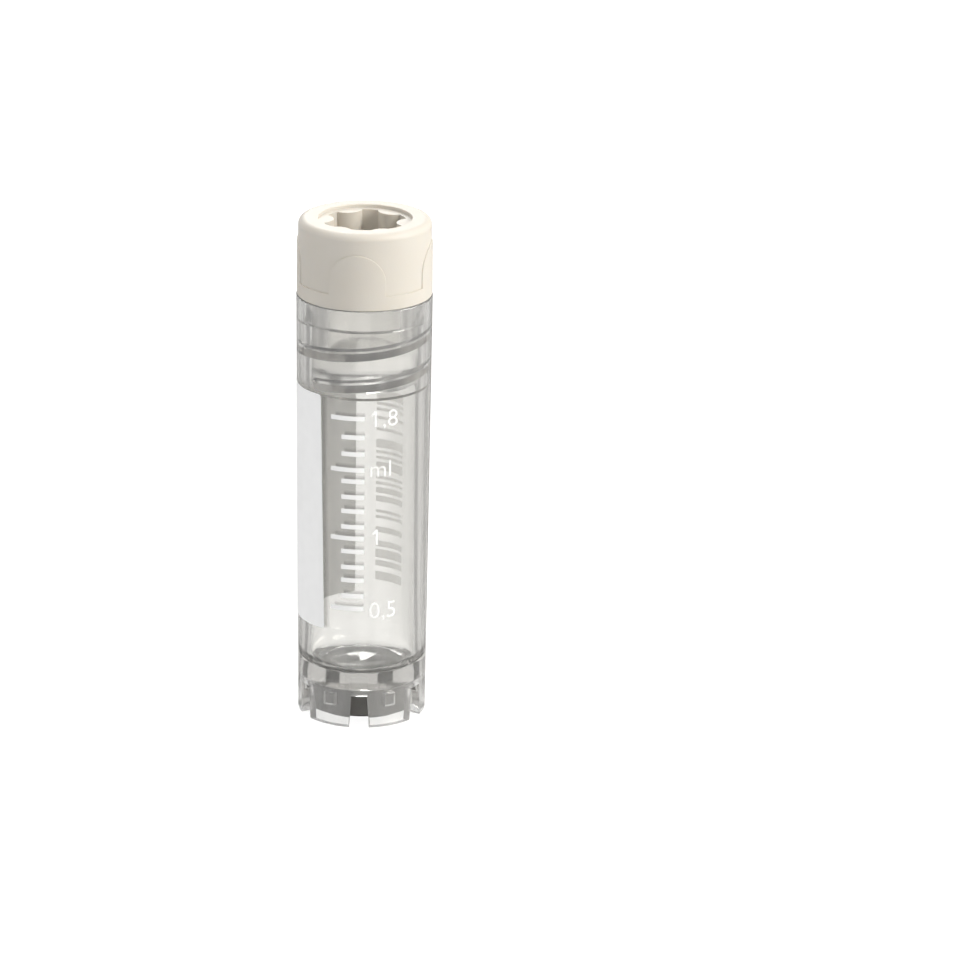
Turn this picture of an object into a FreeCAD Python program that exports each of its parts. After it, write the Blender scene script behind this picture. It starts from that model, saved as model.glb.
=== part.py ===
"""Self-standing screw-cap storage vial for frozen samples, 2 ml, with an inside thread.

The origin is the middle of the foot and +Z runs up the axis. The front is -Y.
A clear tube stands on six spring lugs, which hold a dark disc with small catches. The cap is a
cream cover with a clear threaded plug fixed under it, and a soft washer seals the rim.
"""

import FreeCAD, Part

import math
import os
import re

import Sketcher
from FreeCAD import Placement, Rotation, Vector

# Driving dimensions in millimetres, degrees or counts.
SIZES = {
    # tube
    "rim_height": 40.5,         # foot plane to the rim that the cap closes on
    "rim_radius": 6.25,         # outside, at the rim
    "draft": 0.3,               # how much smaller the outside radius is at the foot
    "bore_wall": 1.5,           # wall round the sample chamber, at the rim's radius
    "foot_hollow": 3.45,        # depth of the hollow under the floor
    "foot_wall": 1.05,          # thickness of the foot ring
    "floor_wall": 1.1,          # thickness of the floor in its middle
    "floor_dish": 0.35,         # how much higher the floor is at the wall
    "floor_fillet": 1.4,        # inside corner of the floor
    "rim_rounding": 0.1,
    "foot_rounding": 0.12,
    # neck of the tube
    "neck_depth": 8.45,         # rim to the end of the wider, threaded bore
    "neck_step": 0.25,          # how much wider that bore is than the chamber
    "neck_taper": 0.3,          # height of the cone between them
    "mouth_depth": 2.2,         # plain counterbore above the thread
    "mouth_gap": 0.05,          # how much wider the mouth is than the groove
    # thread, the same helix for tube and plug
    "thread_pitch": 3.0,
    "thread_lift": 1.17,        # end of the neck to the groove's middle at the front
    "groove_depth": 0.5,
    "groove_crest": 0.25,       # width of the groove's bottom
    "flank_above": 0.15,        # how much the upper flank, which holds the cap down, widens it
    "flank_below": 0.83,        # the same for the long lower flank
    "groove_cover": 0.2,        # how far the groove's cutter reaches out of the wall
    "groove_start": 51.0,       # degrees to the left of the front where the groove begins
    "thread_gap": 0.15,         # running clearance on every side of the plug's rib
    "rib_start": -5.0,          # degrees to the left of the front where the rib begins
    "rib_root": 0.06,           # how far the rib is rooted in the plug's wall
    "rib_end": 0.64,            # the rib's last middle below the floor of the mouth
    # spring lugs of the foot
    "lug_count": 6,
    "slot_foot_width": 1.96,
    "slot_top_width": 1.46,
    "slot_stop": 0.31,          # the slots' tops below the tube's floor
    "slot_overrun": 1.0,        # how far the slot's cutter reaches below the foot
    "niche_width": 1.05,
    "niche_height": 1.2,
    "niche_stop": 0.35,         # the niches' tops below the tube's floor
    "niche_skin": 0.35,         # wall left outside a niche, which is cut from within
    # dark disc in the foot
    "disc_gap": 0.05,           # between disc and foot ring
    "disc_bottom": 0.8,         # height of its rim above the foot plane
    "disc_field_drop": 0.4,     # its middle field stands this much lower than its rim
    "disc_rim": 0.7,            # width of that rim
    "disc_rounding": 0.12,
    "catch_gap": 0.1,           # between a catch and its niche
    "catch_depth": 0.55,        # how far a catch reaches into the foot ring
    # plug
    "plug_gap": 0.15,           # between the plug and the neck's bore
    "plug_end_gap": 0.3,        # between the plug's end and the end of the neck
    "plug_wall": 1.5,
    "plug_floor": 3.2,
    "plug_chamfer": 0.3,
    "shoulder_gap": 0.1,        # between the plug's shoulder and the floor of the mouth
    "shoulder_side_gap": 0.2,   # between the plug's shoulder and the side of the mouth
    # cap
    "cap_height": 7.15,         # flange underside to the top
    "cap_gap": 0.05,            # flange underside above the rim
    "cap_inset": 0.05,          # how much smaller the flange is than the rim
    "joint_gap": 0.03,          # between parts that are fitted or bonded together
    "flange_height": 1.35,
    "cap_rounding": 0.65,
    "cap_small_rounding": 0.08,
    "cap_turn": -4.8,           # how far the closed cap's front pad stands from the front, degrees
    "pad_count": 4,
    "pad_rise": 0.1,            # how far the pads stand out of the barrel
    "pad_half_width": 2.6,      # also the radius of its round head
    "pad_height": 5.2,          # flange underside to the head of a pad
    "pad_root": 0.08,           # how far outside the cap's inner wall a pad starts
    "plug_root": 2.0,           # how far the plug is held up inside the cap
    "stub_length": 2.4,         # the cap's stub inside the plug's hollow
    "cap_web": 0.6,             # between the plug's root and the socket's floor
    "socket_wall": 2.28,        # outside of the barrel to the socket
    "socket_lobes": 6,
    "lobe_radius": 1.43,
    "lobe_setback": 0.51,       # centres of the lobes outside the socket's wall
    "recess_ledge": 0.48,
    "recess_depth": 0.35,
    # washer
    "washer_inset": 0.4,        # how much smaller the washer is than the rim
    "washer_height": 0.5,
}

NEAR = 1e-4  # millimetres within which an edge counts as being at a place

doc = FreeCAD.newDocument("vial")


def make_sheet():
    """The spreadsheet that every sub-part is bound to."""
    sheet = doc.addObject("Spreadsheet::Sheet", "Sizes")
    for row, (alias, size) in enumerate(SIZES.items(), start=1):
        sheet.set(f"A{row}", alias)
        sheet.set(f"B{row}", str(size))
        sheet.setAlias(f"B{row}", alias)
    doc.recompute()
    return sheet


sheet = make_sheet()


def bound(text):
    """An expression with bare size names, as objects outside the sheet have to write it."""
    return re.sub(r"[a-z]\w*", lambda m: f"Sizes.{m[0]}" if m[0] in SIZES else m[0], text)


def amount(text):
    """What an expression over the sizes comes to."""
    return float(sheet.evalExpression(bound(text)))


def bind(thing, **expressions):
    """Ties properties to the sheet. A double underscore stands for the dot in a property's path."""
    for path, text in expressions.items():
        thing.setExpression(path.replace("__", "."), bound(text))


def make_body(name):
    body = doc.addObject("PartDesign::Body", name)
    body.Label = name
    return body


def datum(body, role):
    """One of the body's own origin planes or axes."""
    return next(f for f in body.Origin.OriginFeatures if f.Role == role)


def outline(body, name, role, corners, turned=None):
    """A closed sketch of straight lines whose corners are pairs of expressions.

    turned is an expression for how far the sketch's plane is turned about +Z.
    """
    sketch = body.newObject("Sketcher::SketchObject", name)
    sketch.AttachmentSupport = (datum(body, role), [""])
    sketch.MapMode = "FlatFace"
    if turned is not None:
        sketch.AttachmentOffset = Placement(Vector(), Rotation(Vector(0, 1, 0), 1))
        bind(sketch, AttachmentOffset__Rotation__Angle=turned)
    places = [Vector(amount(x), amount(y), 0) for x, y in corners]
    for start, end in zip(places, places[1:] + places[:1]):
        sketch.addGeometry(Part.LineSegment(start, end), False)
    for line in range(len(corners)):
        following = (line + 1) % len(corners)
        sketch.addConstraint(Sketcher.Constraint("Coincident", line, 2, following, 1))
    for line, (x, y) in enumerate(corners):
        for kind, text, size, axis in (("X", x, places[line].x, -2), ("Y", y, places[line].y, -1)):
            if text == "0":
                sketch.addConstraint(Sketcher.Constraint("PointOnObject", line, 1, axis))
                continue
            mark = f"corner{line}{kind}"
            index = sketch.addConstraint(
                Sketcher.Constraint(f"Distance{kind}", -1, 1, line, 1, size)
            )
            sketch.renameConstraint(index, mark)
            sketch.setExpression(f"Constraints.{mark}", bound(text))
    sketch.Visibility = False
    return sketch


def revolve(body, name, sketch):
    turned = body.newObject("PartDesign::Revolution", name)
    turned.Profile = sketch
    turned.ReferenceAxis = (datum(body, "Z_Axis"), [""])
    turned.Angle = 360
    doc.recompute()
    return turned


def rings(feature, radius, height):
    """Names of the feature's circular edges about the axis at a radius and height."""
    found = []
    for number, edge in enumerate(feature.Shape.Edges, start=1):
        curve = edge.Curve
        if not isinstance(curve, Part.Circle):
            continue
        centre = curve.Center
        misses = (curve.Radius - amount(radius), centre.z - amount(height), centre.x, centre.y)
        if max(abs(miss) for miss in misses) < NEAR:
            found.append(f"Edge{number}")
    return found


def fillet(body, name, feature, places, radius, kind="Fillet"):
    """Rounds, or with kind Chamfer bevels, the ring edges at (radius, height) places."""
    edges = [edge for r, z in places for edge in rings(feature, r, z)]
    rounded = body.newObject(f"PartDesign::{kind}", name)
    rounded.Base = (feature, edges)
    bind(rounded, **{"Radius" if kind == "Fillet" else "Size": radius})
    doc.recompute()
    return rounded


def repeat_outward(body, kind, name, sketch, length, count):
    """A Pad or Pocket outward through the wall, repeated about the axis."""
    feature = body.newObject(f"PartDesign::{kind}", name)
    feature.Profile = sketch
    feature.Reversed = kind == "Pocket"
    bind(feature, Length=length)
    doc.recompute()
    pattern = body.newObject("PartDesign::PolarPattern", f"{name}_pattern")
    pattern.Originals = [feature]
    pattern.Axis = (datum(body, "Z_Axis"), [""])
    pattern.Angle = 360
    bind(pattern, Occurrences=count)
    body.Tip = pattern
    doc.recompute()
    return pattern


# Heights and radii that several pieces share.
FOOT_RADIUS = "(rim_radius - draft)"
FOOT_INSIDE = "(rim_radius - draft - foot_wall)"
FLOOR_TOP = "(foot_hollow + floor_wall)"
SLOT_TOP = "(foot_hollow - slot_stop)"
NICHE_TOP = "(foot_hollow - niche_stop)"
NICHE_BOTTOM = "(foot_hollow - niche_stop - niche_height)"
HALF_STEP = "(180 / lug_count)"
BORE_RADIUS = "(rim_radius - bore_wall)"
NECK_RADIUS = "(rim_radius - bore_wall + neck_step)"
NECK_END = "(rim_height - neck_depth)"
THREAD_FRONT = "(rim_height - neck_depth + thread_lift)"
THREAD_CREST = f"({NECK_RADIUS} + groove_depth)"
GROOVE_WIDTH = "(groove_crest + flank_above + flank_below)"
MOUTH_RADIUS = f"({THREAD_CREST} + mouth_gap)"
MOUTH_FLOOR = "(rim_height - mouth_depth)"
PLUG_RADIUS = f"({NECK_RADIUS} - plug_gap)"
PLUG_HOLLOW = f"({PLUG_RADIUS} - plug_wall)"
PLUG_END = "(rim_height - neck_depth + plug_end_gap)"
SHOULDER_RADIUS = f"({MOUTH_RADIUS} - shoulder_side_gap)"
CAP_BORE = f"({SHOULDER_RADIUS} + joint_gap)"
CAP_BOTTOM = "(rim_height + cap_gap)"
CAP_CEILING = "(rim_height + cap_gap + plug_root)"
CAP_TOP = "(rim_height + cap_gap + cap_height)"
FLANGE_RADIUS = "(rim_radius - cap_inset)"
BARREL_RADIUS = "(rim_radius - cap_inset - pad_rise)"
SOCKET_RADIUS = f"({BARREL_RADIUS} - socket_wall)"
SOCKET_FLOOR = f"({CAP_CEILING} + cap_web)"
PAD_FOOT = f"({CAP_BOTTOM} + flange_height / 2)"
PAD_SPRING = f"({CAP_BOTTOM} + pad_height - pad_half_width)"
WASHER_RADIUS = "(rim_radius - washer_inset)"


def groove_sides(radius, clearance="0"):
    """How far the groove reaches below and above its middle at a radius, as two expressions."""
    share = f"({THREAD_CREST} - {radius}) / groove_depth"
    reach = f"{GROOVE_WIDTH} / 2 - {clearance}"
    return (
        f"({reach} - flank_below * (1 - {share}))",
        f"({reach} - flank_above * (1 - {share}))",
    )


def helical_rib(body, kind, name, radii, sides, start, rise):
    """A helical rib (kind Additive) or groove (kind Subtractive).

    radii are its inner and outer radius, sides how far it reaches below and above its middle
    there, start its angle from the front and the height of its middle there, and rise how far
    it climbs.
    """
    angle, height = start
    (inner, outer), (inner_sides, outer_sides) = radii, sides
    section = outline(body, f"{name}_section", "XZ_Plane", [
        (inner, f"{height} - {inner_sides[0]}"),
        (outer, f"{height} - {outer_sides[0]}"),
        (outer, f"{height} + {outer_sides[1]}"),
        (inner, f"{height} + {inner_sides[1]}"),
    ], turned=f"{angle} - 90")
    helix = body.newObject(f"PartDesign::{kind}Helix", name)
    helix.Profile = section
    helix.ReferenceAxis = (datum(body, "Z_Axis"), [""])
    helix.Mode = "pitch-height-angle"
    bind(helix, Pitch="thread_pitch", Height=rise)
    doc.recompute()


# ---------------------------------------------------------------- tube
def make_tube():
    """One clear moulding: wall, floor, threaded neck and the foot ring with its spring lugs."""
    body = make_body("tube")
    wall = outline(body, "tube_wall", "XZ_Plane", [
        (FOOT_INSIDE, "0"),
        (FOOT_RADIUS, "0"),
        ("rim_radius", "rim_height"),
        (MOUTH_RADIUS, "rim_height"),
        (MOUTH_RADIUS, MOUTH_FLOOR),
        (NECK_RADIUS, MOUTH_FLOOR),
        (NECK_RADIUS, NECK_END),
        (BORE_RADIUS, f"{NECK_END} - neck_taper"),
        (BORE_RADIUS, f"{FLOOR_TOP} + floor_dish"),
        ("0", FLOOR_TOP),
        ("0", "foot_hollow"),
        (FOOT_INSIDE, "foot_hollow"),
    ])
    shell = revolve(body, "tube_shell", wall)
    floor_edge = [(BORE_RADIUS, f"{FLOOR_TOP} + floor_dish")]
    floor = fillet(body, "floor_corner", shell, floor_edge, "floor_fillet")
    rim_edges = [("rim_radius", "rim_height"), (MOUTH_RADIUS, "rim_height")]
    rim = fillet(body, "rim_edges", floor, rim_edges, "rim_rounding")
    fillet(body, "foot_edge", rim, [(FOOT_RADIUS, "0")], "foot_rounding")

    start = f"({THREAD_FRONT} - thread_pitch * groove_start / 360)"
    radii = (f"({NECK_RADIUS} - groove_cover)", THREAD_CREST)
    helical_rib(
        body, "Subtractive", "groove",
        radii=radii,
        sides=[groove_sides(radius) for radius in radii],
        start=("(0 - groove_start)", start),
        rise=f"({MOUTH_FLOOR} - {start} + {GROOVE_WIDTH} / 2)",
    )

    half_foot, half_top = "(slot_foot_width / 2)", "(slot_top_width / 2)"
    slot = outline(body, "slot_outline", "XZ_Plane", [
        (f"-{half_foot}", "-slot_overrun"),
        (half_foot, "-slot_overrun"),
        (half_top, SLOT_TOP),
        (f"-{half_top}", SLOT_TOP),
    ])
    repeat_outward(body, "Pocket", "slot", slot, f"2 * {FOOT_RADIUS}", "lug_count")
    niche = outline(body, "niche_outline", "XZ_Plane", [
        ("-niche_width / 2", NICHE_BOTTOM),
        ("niche_width / 2", NICHE_BOTTOM),
        ("niche_width / 2", NICHE_TOP),
        ("-niche_width / 2", NICHE_TOP),
    ], turned=HALF_STEP)
    repeat_outward(body, "Pocket", "niche", niche, f"{FOOT_RADIUS} - niche_skin", "lug_count")
    return body


# ---------------------------------------------------------------- base insert
def make_base_insert():
    """The dark disc in the foot: a raised field below, and a catch for each lug's niche."""
    body = make_body("base_insert")
    edge = f"({FOOT_INSIDE} - disc_gap)"
    top = "(foot_hollow - disc_gap)"
    field = "(disc_bottom - disc_field_drop)"
    field_radius = f"({edge} - disc_rim)"
    section = outline(body, "disc_section", "XZ_Plane", [
        ("0", field),
        (field_radius, field),
        (field_radius, "disc_bottom"),
        (edge, "disc_bottom"),
        (edge, top),
        ("0", top),
    ])
    disc = revolve(body, "disc", section)
    edges = [(field_radius, field), (edge, "disc_bottom"), (edge, top)]
    fillet(body, "disc_edges", disc, edges, "disc_rounding")
    half = "(niche_width / 2 - catch_gap)"
    catch = outline(body, "catch_outline", "XZ_Plane", [
        (f"-{half}", f"{NICHE_BOTTOM} + catch_gap"),
        (half, f"{NICHE_BOTTOM} + catch_gap"),
        (half, f"{NICHE_TOP} - catch_gap"),
        (f"-{half}", f"{NICHE_TOP} - catch_gap"),
    ], turned=HALF_STEP)
    repeat_outward(body, "Pad", "catch", catch, f"{FOOT_INSIDE} + catch_depth", "lug_count")
    return body


# ---------------------------------------------------------------- cap
def make_cap():
    """The cream cover: flange, raised finger pads, recessed driver socket, and a stub below."""
    body = make_body("cap")
    stub_end = f"{CAP_CEILING} - stub_length"
    stub_radius = f"{PLUG_HOLLOW} - joint_gap"
    washer_seat = "(rim_height + washer_height + joint_gap)"
    washer_side = f"{WASHER_RADIUS} + joint_gap"
    ledge = f"{CAP_BOTTOM} + flange_height"
    recess_radius = f"({SOCKET_RADIUS} + recess_ledge)"
    recess_floor = f"{CAP_TOP} - recess_depth"
    section = outline(body, "cap_section", "XZ_Plane", [
        ("0", stub_end),
        (stub_radius, stub_end),
        (stub_radius, CAP_CEILING),
        (CAP_BORE, CAP_CEILING),
        (CAP_BORE, washer_seat),
        (washer_side, washer_seat),
        (washer_side, CAP_BOTTOM),
        (FLANGE_RADIUS, CAP_BOTTOM),
        (FLANGE_RADIUS, ledge),
        (BARREL_RADIUS, ledge),
        (BARREL_RADIUS, CAP_TOP),
        (recess_radius, CAP_TOP),
        (recess_radius, recess_floor),
        (SOCKET_RADIUS, recess_floor),
        (SOCKET_RADIUS, SOCKET_FLOOR),
        ("0", SOCKET_FLOOR),
    ])
    shell = revolve(body, "cap_shell", section)
    top = fillet(body, "cap_top_edge", shell, [(BARREL_RADIUS, CAP_TOP)], "cap_rounding")
    small = [(recess_radius, CAP_TOP), (FLANGE_RADIUS, CAP_BOTTOM)]
    fillet(body, "cap_small_edges", top, small, "cap_small_rounding")

    arch = arch_outline(body)
    repeat_outward(body, "Pad", "pad", arch, f"2 * {BARREL_RADIUS}", "pad_count")
    beyond = [f"4 * {FLANGE_RADIUS}", f"{CAP_BOTTOM} + cap_small_rounding"]
    around = outline(body, "around_pads", "XZ_Plane", [
        (FLANGE_RADIUS, beyond[1]),
        (beyond[0], beyond[1]),
        (beyond[0], CAP_TOP),
        (FLANGE_RADIUS, CAP_TOP),
    ])
    trim = body.newObject("PartDesign::Groove", "pads_trimmed_round")
    trim.Profile = around
    trim.ReferenceAxis = (datum(body, "Z_Axis"), [""])
    trim.Angle = 360
    doc.recompute()

    lobe = body.newObject("Sketcher::SketchObject", "lobe_outline")
    lobe.AttachmentSupport = (datum(body, "XY_Plane"), [""])
    lobe.MapMode = "FlatFace"
    lobe.AttachmentOffset = Placement(Vector(), Rotation(Vector(0, 0, 1), 1))
    bind(
        lobe,
        AttachmentOffset__Base__z=SOCKET_FLOOR,
        AttachmentOffset__Rotation__Angle="180 / socket_lobes",
    )
    lobe_circle = f"{SOCKET_RADIUS} + lobe_setback"
    centre = Vector(0, amount(lobe_circle), 0)
    lobe.addGeometry(Part.Circle(centre, Vector(0, 0, 1), amount("lobe_radius")), False)
    lobe.addConstraint(Sketcher.Constraint("PointOnObject", 0, 3, -2))
    lobe.addConstraint(Sketcher.Constraint("DistanceY", -1, 1, 0, 3, centre.y))
    lobe.addConstraint(Sketcher.Constraint("Radius", 0, amount("lobe_radius")))
    lobe.setExpression("Constraints[1]", bound(lobe_circle))
    lobe.setExpression("Constraints[2]", bound("lobe_radius"))
    lobe.Visibility = False
    repeat_outward(body, "Pad", "lobe", lobe, f"{recess_floor} - {SOCKET_FLOOR}", "socket_lobes")
    return body


def arch_outline(body):
    """The front of one raised pad: straight sides and a round head."""
    half, foot, spring = amount("pad_half_width"), amount(PAD_FOOT), amount(PAD_SPRING)
    sketch = body.newObject("Sketcher::SketchObject", "pad_outline")
    sketch.AttachmentSupport = (datum(body, "XZ_Plane"), [""])
    sketch.MapMode = "FlatFace"
    bind(sketch, AttachmentOffset__Base__z=f"{CAP_BORE} + pad_root")
    sketch.addGeometry(Part.LineSegment(Vector(-half, foot, 0), Vector(half, foot, 0)), False)
    sketch.addGeometry(Part.LineSegment(Vector(half, foot, 0), Vector(half, spring, 0)), False)
    head = Part.Circle(Vector(0, spring, 0), Vector(0, 0, 1), half)
    sketch.addGeometry(Part.ArcOfCircle(head, 0, math.pi), False)
    sketch.addGeometry(Part.LineSegment(Vector(-half, spring, 0), Vector(-half, foot, 0)), False)
    for rule in (
        ("Coincident", 0, 2, 1, 1),
        ("Tangent", 1, 2, 2, 1),
        ("Tangent", 2, 2, 3, 1),
        ("Coincident", 3, 2, 0, 1),
        ("Horizontal", 0),
        ("Vertical", 1),
        ("PointOnObject", 2, 3, -2),
        ("DistanceY", -1, 1, 0, 1, foot),
        ("DistanceY", -1, 1, 2, 3, spring),
        ("Radius", 2, half),
    ):
        sketch.addConstraint(Sketcher.Constraint(*rule))
    sketch.setExpression("Constraints[7]", bound(PAD_FOOT))
    sketch.setExpression("Constraints[8]", bound(PAD_SPRING))
    sketch.setExpression("Constraints[9]", bound("pad_half_width"))
    sketch.Visibility = False
    return sketch


# ---------------------------------------------------------------- plug
def make_plug():
    """The clear cup under the cap that carries the male thread."""
    body = make_body("plug")
    root = f"{CAP_CEILING} - joint_gap"
    shoulder = f"{MOUTH_FLOOR} + shoulder_gap"
    section = outline(body, "plug_section", "XZ_Plane", [
        ("0", PLUG_END),
        (PLUG_RADIUS, PLUG_END),
        (PLUG_RADIUS, shoulder),
        (SHOULDER_RADIUS, shoulder),
        (SHOULDER_RADIUS, root),
        (PLUG_HOLLOW, root),
        (PLUG_HOLLOW, f"{PLUG_END} + plug_floor"),
        ("0", f"{PLUG_END} + plug_floor"),
    ])
    cup = revolve(body, "cup", section)
    fillet(body, "plug_end_edge", cup, [(PLUG_RADIUS, PLUG_END)], "plug_chamfer", kind="Chamfer")
    start = f"({THREAD_FRONT} - thread_pitch * rib_start / 360)"
    radii = (f"({PLUG_RADIUS} - rib_root)", f"({THREAD_CREST} - thread_gap)")
    helical_rib(
        body, "Additive", "rib",
        radii=radii,
        sides=[groove_sides(radius, clearance="thread_gap") for radius in radii],
        start=("(0 - rib_start)", start),
        rise=f"({MOUTH_FLOOR} - rib_end - {start})",
    )
    return body


# ---------------------------------------------------------------- sealing ring
def make_sealing_ring():
    """The soft washer between the tube's rim and the cap."""
    disc = doc.addObject("Part::Cylinder", "washer_disc")
    hole = doc.addObject("Part::Cylinder", "washer_hole")
    for cylinder, radius in ((disc, WASHER_RADIUS), (hole, CAP_BORE)):
        bind(cylinder, Radius=radius, Height="washer_height", Placement__Base__z="rim_height")
    ring = doc.addObject("Part::Cut", "sealing_ring")
    ring.Base = disc
    ring.Tool = hole
    doc.recompute()
    return ring


def check_document():
    """Stops if any object of the document failed to build."""
    for thing in doc.Objects:
        failed = [state for state in thing.State if state in ("Invalid", "Error")]
        if failed:
            raise RuntimeError(f"{thing.Name} is {failed}")


def write(part):
    """Checks one sub-part and writes its STEP file."""
    shape = part.Shape
    if shape.isNull() or not shape.isValid():
        raise RuntimeError(f"{part.Label} has no valid shape")
    shape.exportStep(f"parts/{part.Label}.step")
    print(f"{part.Label}: {len(shape.Solids)} solid, {shape.Volume:.1f} mm3, box {shape.BoundBox}")


def main():
    os.makedirs("parts", exist_ok=True)
    cap = make_cap()
    cap.Placement = Placement(Vector(), Rotation(Vector(0, 0, 1), 1))
    bind(cap, Placement__Rotation__Angle="cap_turn")
    parts = [make_tube(), make_base_insert(), make_sealing_ring(), make_plug(), cap]
    doc.recompute()
    check_document()
    for part in parts:
        write(part)


main()
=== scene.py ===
# %% [markdown]
# # A screw-cap freezer vial
# The real object is a small clear plastic tube for frozen samples. A cloudy plug with a thread
# is fixed in a cream cap, and six spring lugs under the tube hold a dark disc that carries a code.
# The frame gives every solid part its real size and place, so this lesson adds what the frame
# can't: the printed panel, scale and codes, the finishes, the light and the camera.

# %% Load the frame
import math
import random

import bpy
from mathutils import Matrix, Vector


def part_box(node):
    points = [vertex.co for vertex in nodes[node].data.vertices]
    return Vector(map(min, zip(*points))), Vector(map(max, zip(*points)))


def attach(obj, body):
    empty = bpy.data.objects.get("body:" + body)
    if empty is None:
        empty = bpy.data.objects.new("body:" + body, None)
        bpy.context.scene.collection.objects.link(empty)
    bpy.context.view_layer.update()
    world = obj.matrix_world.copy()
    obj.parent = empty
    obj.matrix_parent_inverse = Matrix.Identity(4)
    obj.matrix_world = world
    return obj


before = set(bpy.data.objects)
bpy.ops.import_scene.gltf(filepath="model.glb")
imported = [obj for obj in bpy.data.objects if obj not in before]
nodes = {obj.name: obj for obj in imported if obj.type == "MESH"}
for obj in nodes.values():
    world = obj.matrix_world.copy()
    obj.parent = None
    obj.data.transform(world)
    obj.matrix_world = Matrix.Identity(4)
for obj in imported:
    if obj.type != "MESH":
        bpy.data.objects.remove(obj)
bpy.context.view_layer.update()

MM = 0.001
print("parts of the frame:", sorted(nodes))

# %% [markdown]
# ## The wall that everything is printed on
# The tube was moulded with a slight draft: it is a little narrower at the foot than at the rim,
# so that it leaves its mould. Ink that ignored this would sink into the wall at one end and stand
# off it at the other. So the wall's radius is measured from the frame, at the foot and at the
# rim, and a small function gives it at any height.

# %% Measure the tube's wall
def rim_radius(node, low, high):
    """The largest distance from the axis of a part's points between two heights."""
    points = [v.co for v in nodes[node].data.vertices if low <= v.co.z <= high]
    return max(math.hypot(p.x, p.y) for p in points)


tube_low, tube_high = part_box("tube")
FOOT_BAND = 1 * MM
foot_radius = rim_radius("tube", tube_low.z, tube_low.z + FOOT_BAND)
top_radius = rim_radius("tube", tube_high.z - FOOT_BAND, tube_high.z)


def wall_radius(height):
    """Radius of the tube's outside at a height above its foot."""
    share = (height - tube_low.z) / (tube_high.z - tube_low.z)
    return foot_radius + (top_radius - foot_radius) * share


print(f"radius at the foot {foot_radius / MM:.2f} mm, at the rim {top_radius / MM:.2f} mm")

# %% [markdown]
# ## How ink is made here
# Ink on a vial is a film of about two hundredths of a millimetre. It could be painted in the
# tube's own material with a mask, but then the clear plastic would bend the light in front of it
# and hide it at a glance. Here ink is a thin closed shell of its own, sunk a little into the
# plastic, so light that comes through the wall from inside meets the ink directly, as it does
# where ink wets a surface. The shell is made as on a lathe: a small upright rectangle beside the
# axis, spun round it.

# %% Tools for printed shells
INK_SINK = 0.02 * MM
INK_RISE = 0.02 * MM
ARC_STEP = 3.0
FRONT = -90.0       # the angle of the front, measured from +X


def start_fresh():
    """Leaves edit mode and deselects everything: an operator acts on all that is selected."""
    if bpy.context.object and bpy.context.object.mode == "EDIT":
        bpy.ops.object.mode_set(mode="OBJECT")
    bpy.ops.object.select_all(action="DESELECT")


def make_active(obj):
    start_fresh()
    obj.select_set(True)
    bpy.context.view_layer.objects.active = obj


def join_pieces(pieces, name):
    """Joins pieces into one and gives it its name."""
    make_active(pieces[0])
    if len(pieces) > 1:
        for piece in pieces[1:]:
            piece.select_set(True)
        bpy.ops.object.join()
    joined = bpy.context.object
    joined.name = name
    joined.data.name = name
    return joined


def shell_strip(first_angle, last_angle, bottom, top, sink=INK_SINK, rise=INK_RISE):
    """A curved film on the wall between two angles from the front and two heights."""
    start_fresh()
    bpy.ops.mesh.primitive_plane_add(size=1, location=(0, 0, 0))
    strip = bpy.context.object
    turn = math.radians(FRONT + first_angle)
    corners = [
        (wall_radius(bottom) - sink, bottom), (wall_radius(bottom) + rise, bottom),
        (wall_radius(top) - sink, top), (wall_radius(top) + rise, top),
    ]
    for vertex, (radius, height) in zip(strip.data.vertices, corners):
        vertex.co = (radius * math.cos(turn), radius * math.sin(turn), height)
    bpy.ops.object.mode_set(mode="EDIT")
    bpy.ops.mesh.select_all(action="SELECT")
    sweep = last_angle - first_angle
    steps = max(2, round(abs(sweep) / ARC_STEP))
    bpy.ops.mesh.spin(steps=steps, angle=math.radians(sweep), center=(0, 0, 0), axis=(0, 0, -1))
    bpy.ops.mesh.select_all(action="SELECT")
    bpy.ops.mesh.normals_make_consistent(inside=False)
    bpy.ops.object.mode_set(mode="OBJECT")
    return strip


print("ink film:", (INK_SINK + INK_RISE) / MM, "mm thick")

# %% [markdown]
# ## Flat prints that are rolled round the tube
# Figures and fields with round corners are easier to draw flat. A flat mesh is cut into narrow
# upright bands with bisect and only then rolled round the tube: without the cuts its long flat
# faces would dive through the wall. A Solidify modifier, applied at once, makes it a film.

# %% Tools for rolled prints
BAND = 0.15 * MM
SAME_SPOT = 0.001 * MM     # points nearer to each other than this are merged


def cut_into_bands(obj, width):
    """Cuts a flat mesh along upright planes so that it can bend."""
    make_active(obj)
    left = min(v.co.x for v in obj.data.vertices)
    right = max(v.co.x for v in obj.data.vertices)
    bpy.ops.object.mode_set(mode="EDIT")
    for step in range(1, math.ceil((right - left) / width)):
        bpy.ops.mesh.select_all(action="SELECT")
        bpy.ops.mesh.bisect(plane_co=(left + step * width, 0, 0), plane_no=(1, 0, 0))
    bpy.ops.object.mode_set(mode="OBJECT")


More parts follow.
